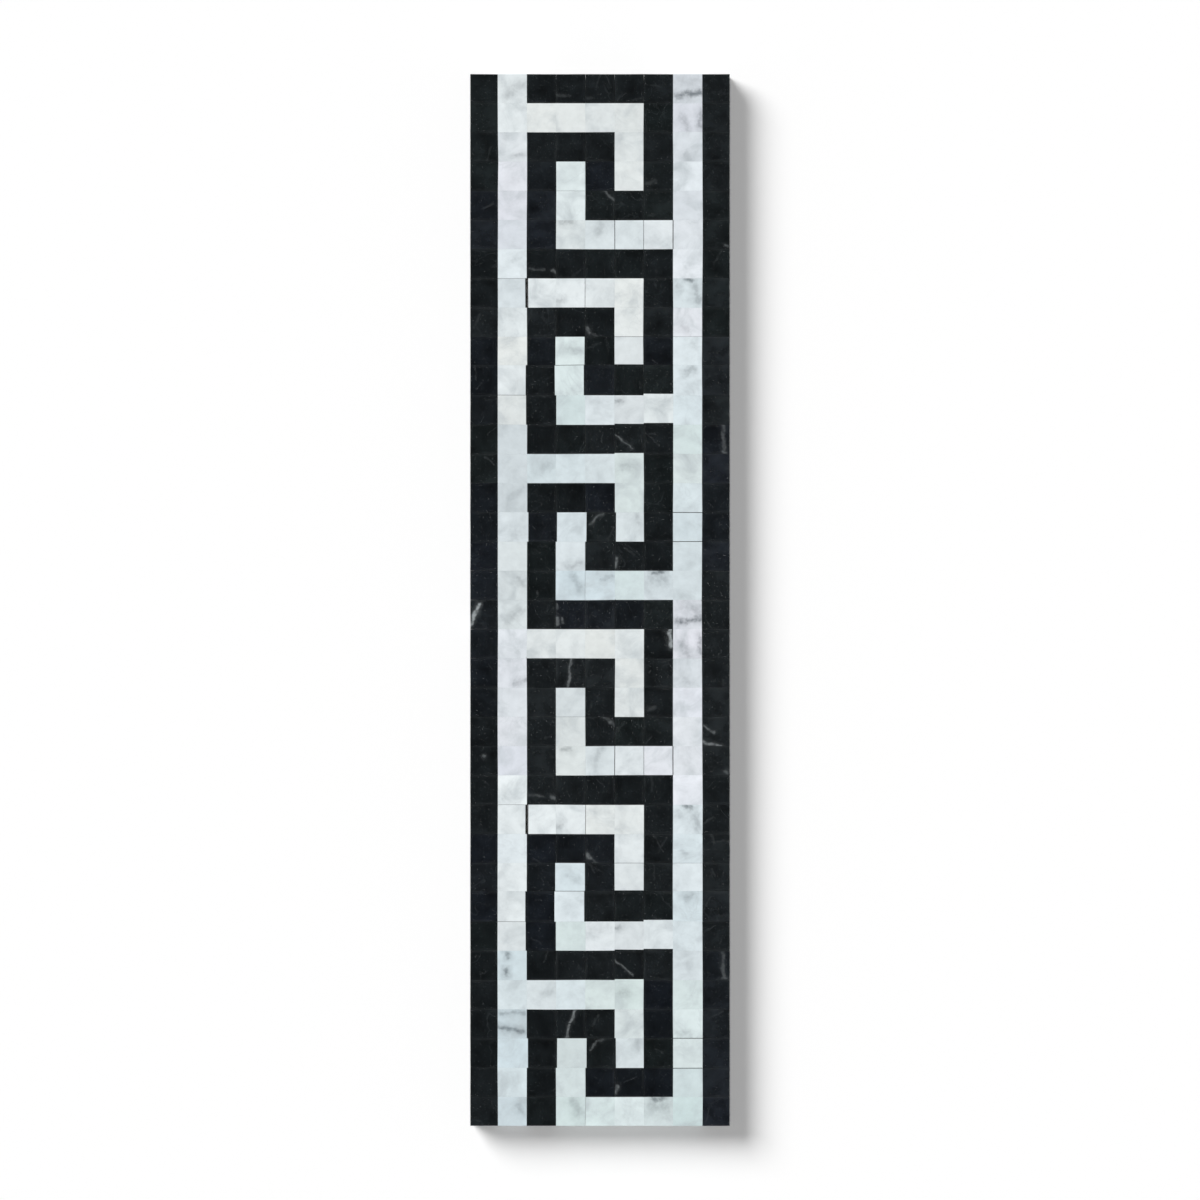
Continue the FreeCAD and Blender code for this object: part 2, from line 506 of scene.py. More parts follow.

# %% [markdown]
# ## Black marble
#
# Polished black marble is never one black. It is mottled, specked, and crossed by white veins.
# Along the joints and the outer edges the polish is dull and dusty, and the stone is painted a little
# lighter there: partly dust, and partly a painted sheen where the edges catch the light. The
# sawn sides are grey and rough. A picture of marble would come back on every stone, so each of
# these layers is a noise at its own scale, and is laid over the one before.

# %% Black marble
VEIN_WHITE = linear(160, 166, 168)
VEIN_GREY = linear(96, 102, 104)
FLECK_GREY = linear(62, 68, 70)
# Lighter grey near every side of a face: dust, and a painted sheen where the edges catch the light
JOINT_DUST_AND_SHEEN = linear(92, 96, 97)
BLACK_SAWN = linear(56, 59, 60)
MOTTLE_SCALE = 190
MOTTLE_GAIN = 2.7
MOTTLE_LOSS = 0.35
FLECK_SCALE = 1500
FLECK_STEP = (0.58, 0.80)
FLECK_SHARE = 0.25
BLACK_LINE_SHARE = 0.10
# Reach, lumps and share of that lighter band: dust and painted sheen
DUST_AND_SHEEN_REACH = 0.11
DUST_AND_SHEEN_SCALE = 160
DUST_AND_SHEEN_STEP = (0.25, 0.75)
DUST_AND_SHEEN_SHARE = 0.10
DUST_ROUGHNESS = 0.12


def make_black_marble():
    """Black marble with white veins, polished on its face."""
    material, start, surface = begin_material("black marble")
    slab = slab_place(start)
    mottle = noise(slab, MOTTLE_SCALE, detail=5.0, roughness=0.62)
    body = scaled(attribute(start, "slab_colour", "Color"), MOTTLE_GAIN * mottle - MOTTLE_LOSS)
    flecks = ease(noise(slab, FLECK_SCALE, detail=2.0), *FLECK_STEP)
    body = blend(FLECK_SHARE * flecks, body, FLECK_GREY)
    body = blend(BLACK_LINE_SHARE * hairlines(slab, scale=75, width=0.016), body, VEIN_GREY)
    # Lighter near the sides of the face: dust, and a painted sheen where the edges catch the light
    dust_and_sheen = ease(joint_distance(start), DUST_AND_SHEEN_REACH, 0.0) * ease(noise(slab, DUST_AND_SHEEN_SCALE), *DUST_AND_SHEEN_STEP)
    body = blend(DUST_AND_SHEEN_SHARE * dust_and_sheen, body, JOINT_DUST_AND_SHEEN)
    veins = marks(start, slab, wobble=0.30, detail=6, core=0.2, halo=0.15, solid=0.35)
    body = blend(veins, body, VEIN_WHITE)
    dull = DUST_ROUGHNESS * dust_and_sheen
    dress_stone(start, surface, slab, body, BLACK_SAWN, sawn=0.78, polished=0.14, worn=0.06, dull=dull)
    return material


black_marble = make_black_marble()
print("black marble:", len(black_marble.node_tree.nodes), "nodes")

# %% [markdown]
# ## White marble
#
# The white marble is cool and cloudy. Grey drifts through it softly, with a dark streak here
# and there where a vein was cut across, and its crystals give it a fine sugary grain. Sawn
# white marble is only a little duller than the polished face. It is built up in layers as the
# black one is.

# %% White marble
STREAK_GREY = linear(58, 68, 76)
CLOUD_GREY = linear(181, 190, 194)
WHITE_SAWN = linear(221, 226, 226)
DRIFT_SCALE = 130
DRIFT_STEP = (0.40, 0.80)
DRIFT_SHARE = 0.70
GRAIN_SCALE = 420
GRAIN_DARKEST = 0.87
GRAIN_GAIN = 0.26
WHITE_LINE_SHARE = 0.20
STREAK_SHARE = 0.75


def make_white_marble():
    """White marble with grey clouds, polished on its face."""
    material, start, surface = begin_material("white marble")
    slab = slab_place(start)
    drift = ease(noise(slab, DRIFT_SCALE, detail=6.0, roughness=0.6, distortion=0.6), *DRIFT_STEP)
    body = blend(DRIFT_SHARE * drift, attribute(start, "slab_colour", "Color"), CLOUD_GREY)
    grain = noise(slab, GRAIN_SCALE, detail=5.0, roughness=0.6)
    body = scaled(body, GRAIN_DARKEST + GRAIN_GAIN * grain)
    body = blend(WHITE_LINE_SHARE * hairlines(slab, scale=60, width=0.014), body, CLOUD_GREY)
    streaks = marks(start, slab, wobble=0.35, detail=3, core=0.0, halo=0.45, solid=0.6)
    body = blend(STREAK_SHARE * streaks, body, STREAK_GREY)
    dress_stone(start, surface, slab, body, WHITE_SAWN, sawn=0.74, polished=0.18, worn=0.08)
    return material


white_marble = make_white_marble()
print("white marble:", len(white_marble.node_tree.nodes), "nodes")

# %% [markdown]
# ## Where the lines wander
#
# The stones were laid by hand. The long lines wander by about a tenth of a millimetre, the rows a
# little less, and two rows start plainly too high. Each stone could be shifted by itself, but then
# neighbours would overlap. One lattice of corner points holds all of it instead, so that two
# neighbours share the same wandering line. The outside stays straight.

# %% The lattice of corner points
LAYOUT_SEED = 36
LINE_STEP = 0.040 * MILLIMETRE
ROW_STEP = 0.030 * MILLIMETRE
EDGE_STEP = 0.05 * MILLIMETRE
HIGH_ROWS = {10: 0.32 * MILLIMETRE, 28: 0.32 * MILLIMETRE}

layout = random.Random(LAYOUT_SEED)


def wander(count, step, pull=0.75):
    """Offsets along a hand-laid line: each keeps most of the last one and adds a little."""
    offsets = [0.0]
    for _ in range(count - 1):
        offsets.append(pull * offsets[-1] + layout.gauss(0, step))
    return offsets


inner_lines = [(number - COLUMN_COUNT / 2) * pitch for number in range(1, COLUMN_COUNT)]
inner_rows = [(row_count / 2 - number) * pitch for number in range(1, row_count)]
line_places = [cad_low.x, *inner_lines, cad_high.x]
row_places = [cad_high.y, *inner_rows, cad_low.y]
line_wander = [wander(row_count + 1, LINE_STEP) for _ in line_places]
row_wander = [wander(COLUMN_COUNT + 1, ROW_STEP) for _ in row_places]
lattice = {}
for line, x in enumerate(line_places):
    for row, y in enumerate(row_places):
        shift = Vector((line_wander[line][row], row_wander[row][line] + HIGH_ROWS.get(row, 0.0), 0))
        if line in (0, COLUMN_COUNT):
            shift.x = -math.copysign(layout.uniform(0, EDGE_STEP), x)
        if row in (0, row_count):
            shift.y = -math.copysign(layout.uniform(0, EDGE_STEP), y)
        lattice[line, row] = Vector((x, y, 0)) + shift
print("lattice points:", len(lattice))

# %% [markdown]
# ## Slips of the hand
#
# Some faults are plainer than a wandering line: a few courses slipped sideways, and a few stones
# sit too far up the strip, by about half a millimetre at most. Moving corners of the lattice would
# bend the stones round them, so here a whole side moves, and the two stones that share it follow.
# The strip was laid in two halves to the same plan, so these faults come back eighteen rows
# further down.

# %% Slipped courses and raised stones
HALF_ROWS = 18
# Row of the stones, the first and the last line that moves, and the slip to the right in millimetres
SLIPPED_COURSES = (
    (9, 3, 4, -0.20),
    (10, 2, 4, -0.40),
    (11, 2, 2, -0.30),
    (15, 2, 5, 0.33),
)
# Column and row of the stone under the side that moves, and how far it moves up in millimetres
RAISED_SIDES = (
    (5, 10, 0.20),
    (6, 11, 0.45),
    (5, 12, 0.30),
    (6, 12, 0.55),
    (5, 13, 0.25),
)

slips = {}
lifts = {}
for half in (0, HALF_ROWS):
    for row, first, last, slip in SLIPPED_COURSES:
        for line in range(first, last + 1):
            slips[line, row + half] = slip * MILLIMETRE
    for column, row, lift in RAISED_SIDES:
        lifts[column, row + half] = lift * MILLIMETRE


def laid_corner(column, row, sign):
    """Where a corner of a stone was laid. The signs say which corner of the stone it is."""
    line, edge = column + (sign.x > 0), row + (sign.y < 0)
    return lattice[line, edge] + Vector((slips.get((line, row), 0.0), lifts.get((column, edge), 0.0), 0.0))


print("sides that slipped:", len(slips), "and sides that are raised:", len(lifts))

# %% [markdown]
# ## Joints
#
# Most joints are hairlines that the eye passes over. A few stand open and show as dark lines,
# and one white hook in three stops short of the line that it should meet. A dark line could be
# painted on, but it wouldn't catch the light, so a joint here is a true gap: the two stones at its
# sides each give up half of it. The open joints too are the same in both halves of the strip.

# %% Open and closed joints
CLOSED_BLACK = (0.002 * MILLIMETRE, 0.006 * MILLIMETRE)
CLOSED_WHITE = (0.001 * MILLIMETRE, 0.004 * MILLIMETRE)
# Column and row of the stone, the side of it that is open, and the opening in millimetres
OPEN_JOINTS = (
    (1, 6, "below", 0.07),
    (1, 10, "below", 0.09),
    (4, 5, "right", 0.18),
    (5, 5, "right", 0.11),
    (6, 5, "right", 0.24),
    (1, 7, "right", 0.85),
    (3, 7, "right", 0.12),
    (5, 8, "below", 0.09),
    (3, 9, "below", 0.13),
    (7, 8, "below", 0.05),
    (7, 14, "below", 0.18),
    (7, 15, "below", 0.18),
    (3, 3, "below", 0.05),
    (3, 17, "right", 0.05),
)

joints = {}
for column, row in all_stones:
    closed = CLOSED_BLACK if is_black(column, row) else CLOSED_WHITE
    joints[column, row, "right"] = layout.uniform(*closed)
    joints[column, row, "below"] = layout.uniform(*closed)
for column, row, side, opening in OPEN_JOINTS:
    for half in (0, HALF_ROWS):
        joints[column, row + half, side] = opening * MILLIMETRE


def half_joint(column, row, side):
    """Half the opening on one side of a stone, or none at the strip's own edge."""
    return joints.get((column, row, side), 0.0) / 2


print("joints:", len(joints), "of which open:", 2 * len(OPEN_JOINTS))

# %% [markdown]
# ## Marks placed one by one
#
# A few veins catch the eye on the real strip, so they are listed stone by stone. Each
# line gives the stone's column, its row or rows, the mark's two ends and its half width in parts
# of the stone, and its strength. A mark may run off its stone, and one whose ends are close
# together is a spot.

# %% Veins in the black stones
WHITE_VEINS = (
    (4, (4, 22), (0.64, 0.00), (0.99, 0.30), 0.065, 0.24),
    (4, (8, 26), (0.08, 0.70), (0.13, 0.84), 0.100, 0.34),
    (4, (8, 26), (0.14, 0.84), (0.42, 1.00), 0.060, 0.10),
    (2, (6, 24), (0.10, 0.66), (0.60, 0.72), 0.060, 0.14),
    (2, (6, 24), (0.86, 0.72), (0.97, 0.78), 0.080, 0.25),
    (3, (0,), (0.00, 0.72), (0.50, 0.78), 0.060, 0.08),
    (8, (5, 23), (0.83, 0.88), (0.92, 0.92), 0.080, 0.18),
    (6, (3, 21), (0.15, 0.75), (0.35, 0.70), 0.140, 0.07),
    (5, (12, 30), (0.01, 0.33), (0.61, 0.81), 0.042, 0.30),
    (8, (12, 30), (0.75, 0.05), (0.78, 0.92), 0.100, 0.16),
    (8, (12, 30), (0.72, 0.93), (0.84, 0.95), 0.080, 0.26),
    (0, (18,), (0.32, 0.14), (-0.04, 0.95), 0.080, 0.92),
    (4, (15, 33), (0.17, 0.40), (0.37, 0.14), 0.060, 0.24),
    (4, (15, 33), (0.37, 0.14), (0.62, 0.04), 0.050, 0.17),
    (5, (16, 34), (0.08, 0.60), (0.04, 0.84), 0.085, 0.36),
    (3, (18,), (0.03, 0.12), (0.03, 0.32), 0.065, 0.16),
    (3, (18,), (0.03, 0.60), (0.03, 0.82), 0.090, 0.34),
    (3, (18,), (0.20, 0.62), (0.21, 0.80), 0.065, 0.22),
    (6, (19,), (0.86, 0.03), (0.92, 0.54), 0.100, 0.85),
    (3, (20,), (0.54, 0.00), (0.38, 1.00), 0.060, 0.33),
    (8, (22,), (0.05, 0.32), (0.44, 0.54), 0.060, 0.30),
    (8, (22,), (0.05, 0.84), (0.66, 0.99), 0.065, 0.42),
    (0, (23,), (0.50, 0.32), (0.54, 0.34), 0.070, 0.45),
    (3, (32,), (0.69, 0.00), (0.50, 0.45), 0.065, 0.50),
    (3, (32,), (0.46, 0.56), (0.34, 1.00), 0.065, 0.50),
)
print("white veins placed:", sum(len(rows) for _, rows, *_ in WHITE_VEINS))

# %% Streaks and clouds in the white stones
GREY_STREAKS = (
    (7, (0, 18), (0.15, 0.76), (0.95, 0.62), 0.170, 1.00),
    (7, (0, 18), (0.30, 0.25), (0.75, 0.30), 0.480, 0.30),
    (7, (18,), (0.70, 0.26), (0.86, 0.42), 0.220, 0.45),
    (7, (1, 19), (0.30, 0.42), (0.52, 0.90), 0.180, 0.45),
    (7, (1, 19), (0.92, 0.30), (0.95, 0.80), 0.140, 0.70),
    (7, (2, 20), (0.45, 0.78), (0.55, 0.85), 0.170, 0.35),
    (1, (0, 18), (0.38, 0.70), (0.78, 0.38), 0.260, 0.38),
    (1, (2, 20), (0.62, 0.85), (0.94, 0.78), 0.110, 0.48),
    (3, (5, 23), (0.20, 0.06), (0.45, 0.10), 0.140, 0.55),
    (4, (5, 23), (0.40, 0.44), (0.56, 0.10), 0.220, 0.42),
    (7, (7, 25), (0.38, 0.03), (0.62, 0.09), 0.120, 0.95),
    (7, (7, 25), (0.76, 0.30), (0.86, 0.78), 0.190, 0.55),
    (7, (7, 25), (0.15, 0.25), (0.22, 0.40), 0.180, 0.38),
    (7, (8, 26), (0.30, 0.60), (0.46, 0.74), 0.130, 0.30),
    (3, (7, 25), (0.06, 0.80), (0.20, 0.72), 0.140, 0.45),
    (3, (9, 27), (0.40, 0.42), (0.75, 0.52), 0.200, 0.34),
    (7, (10, 28), (0.45, 0.20), (0.68, 0.10), 0.190, 0.48),
    (5, (11, 29), (0.05, 0.22), (0.22, 0.16), 0.120, 0.65),
    (4, (11, 29), (0.25, 0.22), (0.80, 0.24), 0.220, 0.24),
    (2, (13, 31), (0.60, 0.45), (0.85, 0.40), 0.220, 0.32),
    (5, (13, 31), (0.25, 0.45), (0.45, 0.40), 0.240, 0.42),
    (1, (14,), (0.90, 0.14), (0.34, 0.56), 0.160, 0.28),
    (5, (15, 33), (0.78, 0.10), (0.84, 0.35), 0.150, 0.36),
    (1, (17, 35), (0.74, 0.28), (0.84, 0.50), 0.160, 0.44),
    (3, (16,), (0.40, 0.90), (0.84, 0.72), 0.150, 0.42),
    (3, (17, 35), (0.58, 0.18), (0.80, 0.60), 0.220, 0.45),
    (4, (17,), (0.50, 0.28), (0.92, 0.20), 0.090, 0.45),
    (6, (17, 35), (0.34, 0.09), (0.62, 0.04), 0.160, 1.00),
    (6, (17, 35), (0.30, 0.28), (0.70, 0.34), 0.320, 0.50),
    (1, (30,), (0.32, 0.10), (0.34, 0.22), 0.110, 0.95),
    (1, (30,), (0.27, 0.64), (0.29, 0.80), 0.120, 0.90),
    (1, (32,), (0.05, 0.16), (0.92, 0.12), 0.090, 0.55),
    (1, (32,), (0.02, 0.60), (0.86, 0.78), 0.115, 0.88),
    (7, (30,), (0.50, 0.40), (0.60, 0.60), 0.260, 0.32),
    (7, (32,), (0.10, 0.88), (0.50, 0.84), 0.120, 0.34),
)
print("grey streaks placed:", sum(len(rows) for _, rows, *_ in GREY_STREAKS))

# %% [markdown]
# Chance fills the slots that are left, with a faint mark or none: a thin vein in a black stone, and
# a broad cloud in a white one.

# %% Marks of every stone
CHANCE_SEED = 12
NO_MARK = ((0.0, 0.0, 1.0), (0.0, 0.0, 0.0))
MARK_MIDDLE = (0.1, 0.9)
MARK_REACH = (0.05, 0.35)
# True for a black stone and False for a white one, here and below
CHANCE_OF_MARK = {True: 0.12, False: 0.50}
MARK_WIDTH = {True: (0.03, 0.06), False: (0.15, 0.40)}
MARK_STRENGTH = {True: (0.02, 0.05), False: (0.03, 0.12)}

chance = random.Random(CHANCE_SEED)


def chance_mark(black):
    """A faint vein or cloud somewhere on the stone, or no mark."""
    if chance.random() > CHANCE_OF_MARK[black]:
        return NO_MARK
    middle = Vector((chance.uniform(*MARK_MIDDLE), chance.uniform(*MARK_MIDDLE), 0))
    angle = chance.uniform(0, math.tau)
    reach = Vector((math.cos(angle), math.sin(angle), 0)) * chance.uniform(*MARK_REACH)
    first, last = middle - reach, middle + reach
    width = chance.uniform(*MARK_WIDTH[black])
    strength = chance.uniform(*MARK_STRENGTH[black])
    return (first.x, first.y, width), (last.x, last.y, strength)


stone_marks = {}
for column, rows, first, last, width, strength in WHITE_VEINS + GREY_STREAKS:
    for row in rows:
        stone_marks.setdefault((column, row), []).append(((*first, width), (*last, strength)))
for column, row in all_stones:
    placed = stone_marks.setdefault((column, row), [])
    while len(placed) < MARK_SLOTS:
        placed.append(chance_mark(is_black(column, row)))
print("most marks on one stone:", max(len(placed) for placed in stone_marks.values()))

# %% [markdown]
# ## Colour of each stone
#
# The stones come from several slabs of each marble, most of them close in colour and a few greyer.
# Chance alone would scatter them evenly. But they were laid out of three boxes in turn, one for
# each repeat of the key: the first is warm with a touch of lavender, the second is plain, and the
# third is greyer, with a cast of sky blue or mint. In the left line the third box is plain the
# first time. The upright of a right hook is often mint. Stones that lie side by side were often
# sawn from the same strip, so each keeps its neighbour's cast more often than not. A few that are
# plainly whiter or greyer than their box are listed. The black line on the right is a
# little greyer than the other black stones.

# %% Slabs and casts
PLAIN = (0, 0, 0)
LAVENDER = (3, -1, 3)
WARM = (2, 0, -3)
MINT = (-5, 1, -2)
SKY = (-5, 0, 2)
NAVY = (-1, -1, 2)
OLIVE = (-1, 0, -1)
SLABS = {
    "right_black_line": ((24, 28, 30), (27, 31, 33), (30, 34, 37)),
    "black": ((20, 24, 26), (22, 26, 28), (22, 26, 28), (25, 29, 31)),
    "left_white_line": ((231, 238, 240), (227, 235, 237), (223, 231, 234), (218, 227, 231)),
    "white_left_hook": ((233, 240, 242), (231, 238, 240), (229, 236, 238)),
    "white_right_hook": ((230, 237, 240), (226, 234, 237), (222, 231, 234), (217, 226, 230)),
    "white": ((233, 240, 242), (229, 236, 239), (225, 233, 236), (220, 229, 232), (211, 221, 225)),
}
CASTS = {
    "black": ((PLAIN, PLAIN, NAVY, OLIVE),),
    "left_white_line": (
        (LAVENDER, LAVENDER, PLAIN), (PLAIN, WARM), (PLAIN,),
        (LAVENDER, LAVENDER, PLAIN), (PLAIN, WARM), (SKY,),
    ),
    "right_white_line": ((LAVENDER,), (SKY, LAVENDER), (MINT, SKY)),
    "white_left_hook": ((WARM,), (PLAIN, PLAIN, WARM), (MINT, SKY)),
    "white_upright": ((MINT, WARM), (MINT, MINT, SKY), (SKY, MINT)),
    "white_right_hook": ((PLAIN, LAVENDER), (PLAIN, PLAIN, WARM), (PLAIN, SKY, MINT)),
}
BOX_TONES = {
    "black": (2, 0, -1),
    "left_white_line": (2, 3, -5),
    "white_left_hook": (-2, 2, -7),
    "white": (1, 2, -5),
}
print("slabs:", sum(len(slabs) for slabs in SLABS.values()))

# %% Stones that stand out
WHITER = 9
GREYER = -10
# Column and rows of the stones, and the change in their levels
STAND_OUTS = (
    (1, (6, 8, 15, 19, 24, 26, 33), WHITER),
    (1, (11, 29), GREYER),
    (3, (17,), WHITER),
    (3, (29, 33), GREYER),
    (4, (11, 17, 35), WHITER),
    (5, (17, 19, 35), WHITER),
    (5, (9, 11, 27, 29), GREYER),
    (6, (11,), WHITER),
    (7, (3, 6, 21, 24, 32, 34, 35), WHITER),
)
stand_outs = {(column, row): change for column, rows, change in STAND_OUTS for row in rows}
print("stones that stand out:", len(stand_outs))

# %% Colour of every stone
UPRIGHT_COLUMN = 3
SAME_SLAB = 0.35
SAME_CAST = 0.6
CAST_SHARE = (0.4, 1.2)


def choices_for(kind, table):
    """The row of a table whose name is part of the stone's kind."""
    return next(row for name, row in table.items() if name in kind)


def box_of(row, boxes):
    """The box that a row of stones was laid from."""
    return boxes[row // KEY_ROWS % len(boxes)]


stone_colours = {}
for group, stones in groups.items():
    slabs = choices_for(group, SLABS)
    slab, cast = slabs[0], PLAIN
    for column, row in stones:
        upright = "white_right" in group and column == UPRIGHT_COLUMN
        casts = box_of(row, choices_for("white_upright" if upright else group, CASTS))
        tone = box_of(row, choices_for(group, BOX_TONES)) + stand_outs.get((column, row), 0)
        if chance.random() > SAME_SLAB:
            slab = chance.choice(slabs)
        if cast not in casts or chance.random() > SAME_CAST:
            cast = chance.choice(casts)
        share = chance.uniform(*CAST_SHARE)
        levels = [level + share * change + tone for level, change in zip(slab, cast)]
        stone_colours[column, row] = linear(*levels)
print("stones coloured:", len(stone_colours))

# %% [markdown]
# ## One stone
#
# A stone is a small block, sawn on its sides and polished on its face. Copies of one block would
# all be alike, so each is cut for its own place, from a cube that is drawn out to the four corners
# where the stone was laid. Most stones narrow a little towards the back, so that the joints close
# at the face. Each face sits a touch higher or lower than its neighbours, and tilts by a hair.

# %% Lay the block of one stone
STONE_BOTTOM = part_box("left_black_line")[0].z
LIPPAGE = {True: 0.06 * MILLIMETRE, False: 0.006 * MILLIMETRE}
TILT = 0.004 * MILLIMETRE
BACK_TAPER = 0.07 * MILLIMETRE


def stone_corner(column, row, sign):
    """A laid corner, drawn in by half a joint on both of its sides."""
    beside = half_joint(column if sign.x > 0 else column - 1, row, "right")
    along = half_joint(column, row if sign.y < 0 else row - 1, "below")
    return laid_corner(column, row, sign) - Vector((sign.x * beside, sign.y * along, 0))


def lay_block(bm, column, row):
    """Adds a cube that is drawn out to the stone's corners, and returns its points."""
    lippage = LIPPAGE[is_black(column, row)]
    top = cad_high.z - chance.uniform(0, lippage) - 2 * TILT
    slope = Vector((chance.uniform(-TILT, TILT), chance.uniform(-TILT, TILT), 0))
    # The corners of a cube of side 2 lie at plus and minus 1, so they serve as signs
    block = bmesh.ops.create_cube(bm, size=2.0)["verts"]
    for vert in block:
        sign = vert.co.copy()
        if sign.z > 0:
            vert.co = stone_corner(column, row, sign)
            vert.co.z = top + slope.dot(sign)
        else:
            vert.co = laid_corner(column, row, sign)
            vert.co += Vector((-sign.x * BACK_TAPER, -sign.y * BACK_TAPER, STONE_BOTTOM))
    return block


print("a stone's height in mm:", round((cad_high.z - STONE_BOTTOM) / MILLIMETRE, 2))

# %% [markdown]
# The sides of a stone aren't quite straight. Its rubbed edge, the arris, is wider on a black stone,
# and now and then a corner is chipped. A Bevel modifier would treat all edges alike, so operators
# do it: the block's level edges are divided in three, the points round the face are pushed in by
# chance, one bevel chips a corner, and another makes the arris. That leaves a few dozen faces,
# which is few enough for hundreds of stones.

# %% Cut one stone
SIDE_CUTS = 2
UNEVEN_SIDE = {True: 0.03 * MILLIMETRE, False: 0.002 * MILLIMETRE}
CHIPPED = {True: 0.12, False: 0.05}
CHIP = 0.35 * MILLIMETRE
CHIP_SHARE = (0.4, 1.0)
ARRIS = {True: 0.07 * MILLIMETRE, False: 0.02 * MILLIMETRE}


def rim_of(bm, others, middle_height):
    """Edges between the newest stone's face and its sides."""
    sides = set()
    for face in bm.faces:
        heights = [vert.co.z for vert in face.verts]
        if face not in others and min(heights) < middle_height < max(heights):
            sides.add(face)
    upper = [edge for edge in bm.edges if min(vert.co.z for vert in edge.verts) > middle_height]
    return [edge for edge in upper if sides.intersection(edge.link_faces)]


def cut_stone(bm, column, row):
    """Adds one stone to a bmesh and returns its faces."""
    others = set(bm.faces)
    black = is_black(column, row)
    block = lay_block(bm, column, row)
    middle = sum((vert.co for vert in block), Vector()) / len(block)
    corners = set(block)
    own = [edge for edge in bm.edges if corners.issuperset(edge.verts)]
    level = [edge for edge in own if abs(edge.verts[0].co.z - edge.verts[1].co.z) < middle.z / 2]
    bmesh.ops.subdivide_edges(bm, edges=level, cuts=SIDE_CUTS, use_grid_fill=True)
    rim = rim_of(bm, others, middle.z)
    rim_points = sorted({vert for edge in rim for vert in edge.verts}, key=lambda vert: tuple(vert.co))
    for vert in rim_points:
        inwards = (middle - vert.co).to_2d().normalized().to_3d()
        vert.co += inwards * chance.uniform(0, UNEVEN_SIDE[black])
    if chance.random() < CHIPPED[black]:
        outwards = Vector((chance.choice((-1, 1)), chance.choice((-1, 1)), 0))
        corner = max(rim_points, key=lambda vert: outwards.dot(vert.co))
        chip = CHIP * chance.uniform(*CHIP_SHARE)
        bmesh.ops.bevel(
            bm, geom=[corner], offset=chip, affect="VERTICES", segments=1, profile=0.5, material=-1,
        )
    bmesh.ops.bevel(
        bm, geom=rim_of(bm, others, middle.z), offset=ARRIS[black], affect="EDGES", segments=1,
        profile=0.5, material=-1, clamp_overlap=True,
    )
    return [face for face in bm.faces if face not in others]


print("arris of a black stone in mm:", round(ARRIS[True] / MILLIMETRE, 3))

# %% [markdown]
# ## Write what the stone carries
#
# Each stone could have a material of its own, but that would make hundreds. Attributes on its
# faces let all the stones of one marble share one. They are written as soon as the stone is cut.

# %% Layers for the attributes
MARK_NAMES = [f"mark_{slot}_{end}" for slot in range(1, MARK_SLOTS + 1) for end in ("start", "end")]


def stone_layers(bm):
    """Makes the layers that the two marbles read."""
    faces = bm.faces.layers
    layers = {"uv": bm.loops.layers.uv.new("stone")}
    layers["polish"] = faces.float.new("polish")
    layers["painted_joint_shade"] = faces.float.new("painted_joint_shade")
    layers["slab_offset"] = faces.float_vector.new("slab_offset")
    layers["slab_colour"] = faces.float_color.new("slab_colour")
    for name in MARK_NAMES:
        layers[name] = faces.float_vector.new(name)
    return layers


print("attributes for the marks:", MARK_NAMES)

# %% Polish, painted joint shade and UV map of one stone
POLISHED_SLOPE = 0.985
SIDE_SLOPE = 0.2
ARRIS_POLISH = 0.35
SLAB_REACH = 5


def polish_of(face, middle_height):
    """1 on the polished face, less on the arris, 0 on the sawn sides and back."""
    if face.normal.z > POLISHED_SLOPE:
        return 1.0
    on_arris = face.normal.z > SIDE_SLOPE and face.calc_center_median().z > middle_height
    return ARRIS_POLISH if on_arris else 0.0


def painted_joint_shade_of(face, column, row):
    """1 on a side that faces another stone, which is painted dark as shade of the joint with its dust and
    glue, and 0 elsewhere.
    """
    facing = face.normal
    if abs(facing.z) > SIDE_SLOPE:
        return 0.0
    if abs(facing.x) > abs(facing.y):
        return float(column != (COLUMN_COUNT - 1 if facing.x > 0 else 0))
    return float(row != (0 if facing.y > 0 else row_count - 1))


def write_stone(layers, faces, column, row):
    """Writes a stone's place in the slab, colour, polish, painted joint shade, marks and UV map on its
    faces.
    """
    offset = Vector([chance.uniform(-SLAB_REACH, SLAB_REACH) for _ in range(3)])
    left, right = line_places[column], line_places[column + 1]
    upper, lower = row_places[row], row_places[row + 1]
    middle_height = (cad_high.z + STONE_BOTTOM) / 2
    ends = [end for placed in stone_marks[column, row] for end in placed]
    for face in faces:
        face.normal_update()
        face[layers["polish"]] = polish_of(face, middle_height)
        face[layers["painted_joint_shade"]] = painted_joint_shade_of(face, column, row)
        face[layers["slab_offset"]] = offset
        face[layers["slab_colour"]] = stone_colours[column, row]
        for name, end in zip(MARK_NAMES, ends):
            face[layers[name]] = end
        for loop in face.loops:
            place = loop.vert.co
            loop[layers["uv"]].uv = ((place.x - left) / (right - left), (upper - place.y) / (upper - lower))


print("steepest polished face in degrees:", round(math.degrees(math.acos(POLISHED_SLOPE)), 1))

# %% [markdown]
# ## Lay the stones
#
# An object for each stone would make hundreds, so each group of stones becomes one piece, which
# stands for the group's CAD node.

# %% Every group of stones
def finish_piece(bm, name, material, nodes):
    """Turns a bmesh into a piece that rides on the tile and stands for its CAD nodes."""
    piece = add_object(bm, name, material)
    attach(piece, "root")
    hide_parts(*nodes)


stone_faces = 0
for group, stones in groups.items():
    bm = bmesh.new()
    layers = stone_layers(bm)
    for column, row in stones:
        write_stone(layers, cut_stone(bm, column, row), column, row)
    stone_faces += len(bm.faces)
    material = black_marble if "black" in group else white_marble
    finish_piece(bm, f"{group}_stones", material, [group])
print("pieces of stone:", len(groups), "faces:", stone_faces)

